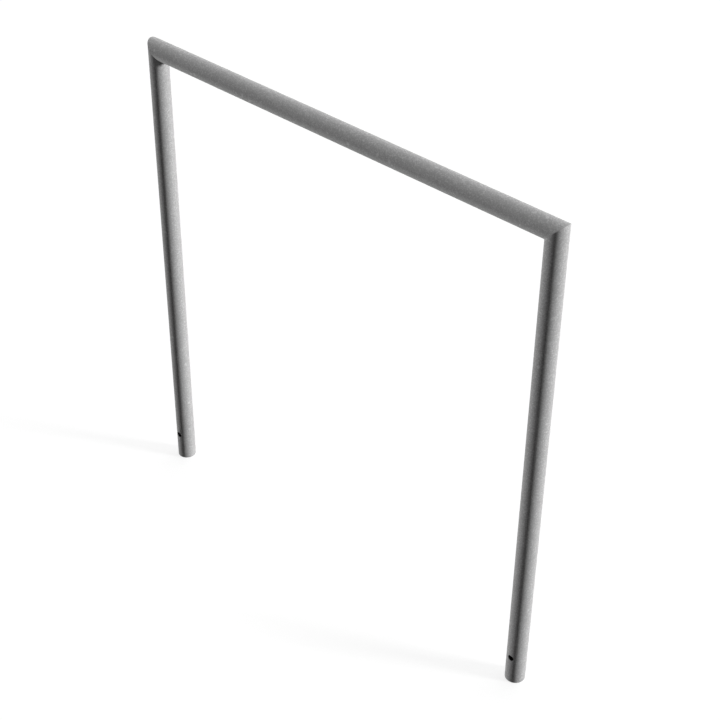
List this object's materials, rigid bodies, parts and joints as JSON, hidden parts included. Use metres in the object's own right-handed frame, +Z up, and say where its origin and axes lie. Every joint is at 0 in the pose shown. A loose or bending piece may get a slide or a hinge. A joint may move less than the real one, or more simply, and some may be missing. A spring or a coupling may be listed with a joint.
{
  "type": "hoop barrier",
  "caption": "Upright hoop barrier of round galvanised steel tube with sharp mitred welded corners and a cross hole near each foot for a ground anchor rod.",
  "frame": {"origin": "midway between the two legs, on the plane of their sawn feet", "axes": "+X along the top rail from the left leg to the right leg, +Z up along the legs, -Y out of the front of the hoop"},
  "size_m": [1.25, 0.0486, 1.25],
  "materials": {
    "galvanised_tube": "matt hot-dip galvanised zinc with a fine grain and small bright flecks",
    "galvanised_weld": "weld metal ground flush, then hot-dip galvanised"
  },
  "bodies": {
    "root": {"left_leg": "galvanised_tube", "right_leg": "galvanised_tube", "top_rail": "galvanised_tube", "left_corner_weld": "galvanised_weld", "right_corner_weld": "galvanised_weld"}
  },
  "joints": []
}
